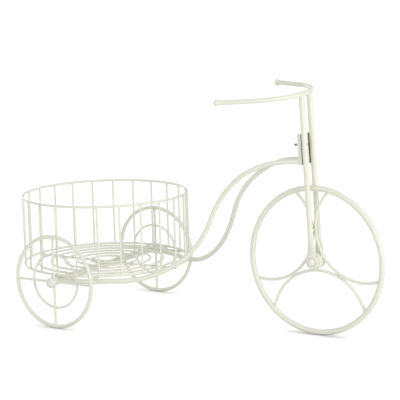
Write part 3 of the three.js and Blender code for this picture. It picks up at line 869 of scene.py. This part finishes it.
class PLANTER_OT_fork_legs(bpy.types.Operator):
    """Draw each leg up from its flattened foot, and weld on its round eye"""
    bl_idname = "planter.fork_legs"
    bl_label = "Fork legs"

    def execute(self, context):
        sizes = context.scene.planter_sizes
        half, flat, wide = sizes.leg_tube / 2, sizes.eye_thickness / 2, sizes.neck_width / 2
        root, neck, taper, steps = 4 * MM, 14 * MM, 20 * MM, 12
        placing, _path = bar_frame()
        for side, sign in SIDES:
            node = f"fork_leg_{side}"
            levels = [(root, wide, flat), (neck, wide, flat)]
            for i in range(1, steps + 1):
                t = i / steps
                ease = t * t * (3 - 2 * t)
                levels.append((neck + t * taper, wide + (half - wide) * ease,
                               flat + (half - flat) * ease))
            out = Y * sign * abs(middle(node).y)
            bar = (placing @ out).z
            levels.append((bar - 30 * MM, half, half))
            # The leg thickens at its weld and closes inside the bar.
            for drop, swell in ((7, 1), (5.6, 1.02), (4.4, 1.06), (3.4, 1.07), (2.4, 1),
                                (1.6, 0.86), (1, 0.7)):
                levels.append((bar - drop * MM, half * swell, half * swell))
            eye = (flat, sizes.front_bore / 2, sizes.eye / 2, 0.7 * MM)
            leg = joined([self.drawn(levels), barrel(*eye)])
            turn_and_move(leg, fork_frame() @ Matrix.Translation(out))
            finish_piece(leg, f"{node}_drawn", [node], "tube")
        return {"FINISHED"}

    def drawn(self, levels):
        """Extrude a round section upwards through (height, half width, half thickness) levels."""
        height, wide, thick = levels[0]
        leg = added(bpy.ops.mesh.primitive_circle_add, vertices=24, radius=1, fill_type="NGON",
                    location=(0, 0, height))
        edit_all()
        bpy.ops.transform.resize(value=(wide, thick, 1), center_override=(0, 0, height))
        for next_height, next_wide, next_thick in levels[1:]:
            bpy.ops.mesh.extrude_region_move(
                TRANSFORM_OT_translate={"value": (0, 0, next_height - height)})
            bpy.ops.transform.resize(value=(next_wide / wide, next_thick / thick, 1),
                                     center_override=(0, 0, next_height))
            height, wide, thick = next_height, next_wide, next_thick
        return settle(leg, 50)


class PLANTER_OT_handlebar(bpy.types.Operator):
    """Bend the handlebar's bow and arms, and put a ball on each end"""
    bl_idname = "planter.handlebar"
    bl_label = "Handlebar"

    def execute(self, context):
        sizes = context.scene.planter_sizes
        placing, flat_path = bar_frame()
        path = [fork_frame() @ placing @ p for p in flat_path]
        ball = extent("handlebar_ball_left").z / 2
        bar = welded_rod(path, sizes.handlebar_tube, (ball, ball), sides=24, swell=0.12)
        finish_piece(bar, "handlebar_bent", ["handlebar"], "tube")
        profile = [(ball * math.cos(a), ball * math.sin(a)) for a in swept(QUARTER, 16)]
        profile[0], profile[-1] = (0, -ball), (0, 0.96 * ball)
        for side, sign in SIDES:
            node = f"handlebar_ball_{side}"
            end, inner = (path[0], path[1]) if sign < 0 else (path[-1], path[-2])
            aim = (end - inner).to_track_quat("Y", "Z").to_matrix().to_4x4()
            knob = turn_and_move(spun_profile(profile, 28, 60), Matrix.Translation(middle(node)) @ aim)
            finish_piece(knob, f"handlebar_end_{side}", [node], "tube")
        return {"FINISHED"}


class PLANTER_OT_front_wheel(bpy.types.Operator):
    """Bend and weld the tall front wheel: rim, hub and three arc spokes"""
    bl_idname = "planter.front_wheel"
    bl_label = "Front wheel"

    def execute(self, context):
        sizes, places = context.scene.planter_sizes, context.scene.planter_places
        body, centre = "front_wheel", middle("front_wheel_rim")
        rim = spun_ring("front_wheel_rim", sizes.front_rim_rod, Y, 144, 24)
        finish_piece(rim, "front_rim", ["front_wheel_rim"], "tube", body)

        hub_size = extent("front_wheel_hub")
        hub_radius = hub_size.z / 2
        hub = barrel(hub_size.y / 2, sizes.front_bore / 2, hub_radius, 1.2 * MM)
        turn_and_move(hub, Matrix.Translation(centre))
        finish_piece(hub, "front_hub", ["front_wheel_hub"], "tube", body)

        # Each arc passes the hub and both its neighbours by a weld gap, and ends in the rim.
        nearest = hub_radius + WELD_GAP + sizes.arc_rod / 2
        side_space = (sizes.arc_rod + WELD_GAP) / 2
        arc_centre = (nearest - side_space) / (1 - math.sin(math.pi / 3))
        radius = arc_centre - nearest
        rim_radius = ring_radius("front_wheel_rim", sizes.front_rim_rod)
        sweep = math.acos((radius ** 2 + arc_centre ** 2 - rim_radius ** 2) / (2 * radius * arc_centre))
        sink = 0.7 * sizes.front_rim_rod
        bead_size = Vector((1.04, 0.64, 1.04)) * sizes.arc_rod
        beads = []
        for i in range(3):
            direction = places.arc_turn + i * 2 * math.pi / 3
            out = Vector((math.cos(direction), 0, math.sin(direction)))
            across = Vector((-out.z, 0, out.x))
            path = [centre + out * (arc_centre - radius * math.cos(a)) + across * radius * math.sin(a)
                    for a in swept(sweep, 48)]
            arc = welded_rod(path, sizes.arc_rod, (sink, sink), spacing=4 * MM, sides=18, swell=0.2)
            finish_piece(arc, f"front_arc_{i + 1}", [f"front_wheel_arc_{i + 1}"], "tube", body)
            meeting = Matrix.Rotation(-math.pi / 3, 3, "Y") @ out * arc_centre / 2
            for offset in (out * (hub_radius + WELD_GAP), meeting):
                for face in (-1, 1):
                    place = centre + offset + Y * face * 0.3 * sizes.arc_rod
                    beads.append(weld_bead(place, bead_size, len(beads)))
        finish_piece(joined(beads), "front_wheel_weld_beads", [], "tube", body)
        return {"FINISHED"}


class PLANTER_OT_front_axle(bpy.types.Operator):
    """Turn the front axle rod between the two caps"""
    bl_idname = "planter.front_axle"
    bl_label = "Front axle"

    def execute(self, context):
        size = extent("front_axle")
        radius, end, edge = size.z / 2, size.y / 2, 0.4 * MM
        half = [(radius, end - edge), (radius - edge, end), (0, end)]
        finish_piece(turned_rod(half, "front_axle", 24), "front_axle_rod", ["front_axle"], "zinc")
        return {"FINISHED"}


# ---- Stage ----

class PLANTER_OT_stage(bpy.types.Operator):
    """Set the pale floor, the white background, soft lamps and the photograph's camera"""
    bl_idname = "planter.stage"
    bl_label = "Stage"

    def execute(self, context):
        self.floor(context)
        self.background(context)
        self.lamps(context)
        self.camera(context)
        context.scene.view_settings.view_transform = "Standard"
        return {"FINISHED"}

    def floor(self, context):
        """Matt white sweep, lifted where it is seen until it is white, but for the shadows on it."""
        floor = added(bpy.ops.mesh.primitive_plane_add, size=30)
        floor.name = "floor"
        material, place = new_material("matt_white_sweep")
        # Painted shade: an ambient occlusion darkens the floor's colour close to the stand, a thin line
        # as under each wheel of the real stand, which closes the gap to the floor.
        shade = add_node(material, "ShaderNodeAmbientOcclusion", {
            "Color": rgba("floor"), "Distance": 14 * MM}, samples=16)
        matt = add_node(material, "ShaderNodeBsdfDiffuse", {"Color": shade})
        # The lamps light the middle of the sweep most, so it is lifted least there.
        spread = add_node(material, "ShaderNodeMapping", {"Vector": place, "Scale": (0.6, 0.6, 0.6)})
        nearness = add_node(material, "ShaderNodeTexGradient", {"Vector": spread},
                            gradient_type="SPHERICAL")
        needed = add_node(material, "ShaderNodeMapRange", {
            "Value": nearness.outputs["Fac"], "To Min": 0.52, "To Max": 0.4})
        lift = add_node(material, "ShaderNodeEmission", {"Strength": needed})
        lifted = add_node(material, "ShaderNodeAddShader", {0: matt, 1: lift})
        finish(material, add_node(material, "ShaderNodeMixShader", {
            0: seen_directly(material), 1: matt, 2: lifted}))
        floor.data.materials.append(material)

    def background(self, context):
        """White where it is seen. Where it lights, soft, and dimmer overhead than at eye level."""
        world = bpy.data.worlds.new("studio")
        world.use_nodes = True
        world.node_tree.nodes.clear()
        place = add_node(world, "ShaderNodeTexCoord").outputs["Generated"]
        upwards = add_node(world, "ShaderNodeSeparateXYZ", {"Vector": place}).outputs["Z"]
        tent = add_node(world, "ShaderNodeMapRange", {"Value": upwards, "To Min": 0.8, "To Max": 0.5})
        strength = add_node(world, "ShaderNodeMapRange", {
            "Value": seen_directly(world), "To Min": tent, "To Max": 1.0})
        light = add_node(world, "ShaderNodeBackground", {
            "Color": rgba("daylight"), "Strength": strength})
        add_node(world, "ShaderNodeOutputWorld", {"Surface": light})
        context.scene.world = world

    def lamps(self, context):
        """A broad key lamp low on the camera's right, a weak fill on its left, and one from behind."""
        for name, place, size, power in (("key", (2.7, -0.7, 0.9), 1.2, 30),
                                         ("fill", (-0.3, -2.6, 0.8), 2, 10),
                                         ("back", (-2.7, 1.3, 1.1), 2, 14)):
            lamp = added(bpy.ops.object.light_add, type="AREA", location=place)
            lamp.name = name
            lamp.data.size = size
            lamp.data.energy = power
            lamp.data.color = context.scene.planter_colours.lamp
            aim = Vector((0, 0, 0.15)) - lamp.location
            lamp.rotation_euler = aim.to_track_quat("-Z", "Y").to_euler()

    def camera(self, context):
        """The photograph's camera, which circles a point ahead of the rear axle."""
        view = context.scene.planter_camera
        back = Vector((math.sin(view.azimuth) * math.cos(view.elevation),
                       -math.cos(view.azimuth) * math.cos(view.elevation), math.sin(view.elevation)))
        right = Vector((math.cos(view.azimuth), math.sin(view.azimuth), 0))
        up = back.cross(right)
        rolled_right = right * math.cos(view.roll) + up * math.sin(view.roll)
        rolled_up = up * math.cos(view.roll) - right * math.sin(view.roll)
        target = Vector((middle("rear_axle").x + view.ahead, 0, view.height))
        place = target + rolled_right * view.pan_right + rolled_up * view.pan_up + back * view.distance
        camera = added(bpy.ops.object.camera_add)
        camera.name = "camera"
        turned = Matrix((rolled_right, rolled_up, back)).transposed().to_4x4()
        camera.matrix_world = Matrix.Translation(place) @ turned
        camera.data.sensor_width = 36
        camera.data.sensor_fit = "HORIZONTAL"
        camera.data.lens = view.lens
        camera.data.clip_end = 50
        context.scene.camera = camera


class PLANTER_PT_panel(bpy.types.Panel):
    """Planter stand"""
    bl_idname = "PLANTER_PT_panel"
    bl_label = "Tricycle planter stand"
    bl_space_type = "VIEW_3D"
    bl_region_type = "UI"
    bl_category = "Planter"

    def draw(self, context):
        for group in GROUPS:
            settings = getattr(context.scene, group)
            box = self.layout.box()
            for name in settings.bl_rna.properties.keys():
                if name not in ("rna_type", "name"):
                    box.prop(settings, name)
        for operator in OPERATORS:
            self.layout.operator(operator.bl_idname)


OPERATORS = (
    PLANTER_OT_stage,
    PLANTER_OT_basket_rings,
    PLANTER_OT_uprights,
    PLANTER_OT_floor_cross,
    PLANTER_OT_rear_axle,
    PLANTER_OT_rear_wheels,
    PLANTER_OT_caps,
    PLANTER_OT_frame_tubes,
    PLANTER_OT_bracket,
    PLANTER_OT_fork_legs,
    PLANTER_OT_handlebar,
    PLANTER_OT_front_wheel,
    PLANTER_OT_front_axle,
)
GROUPS = {
    "planter_sizes": PlanterSizes,
    "planter_places": PlanterPlaces,
    "planter_colours": PlanterColours,
    "planter_camera": PlanterCamera,
}
CLASSES = (*GROUPS.values(), *OPERATORS, PLANTER_PT_panel)


def register():
    for kind in CLASSES:
        bpy.utils.register_class(kind)
    for name, group in GROUPS.items():
        setattr(bpy.types.Scene, name, PointerProperty(type=group))


def unregister():
    for name in GROUPS:
        delattr(bpy.types.Scene, name)
    for kind in reversed(CLASSES):
        bpy.utils.unregister_class(kind)


def main():
    register()
    for operator in OPERATORS:
        result = getattr(bpy.ops.planter, operator.bl_idname.split(".")[1])()
        if result != {"FINISHED"}:
            raise RuntimeError(f"{operator.bl_label} did not finish")


if __name__ == "__main__":
    main()
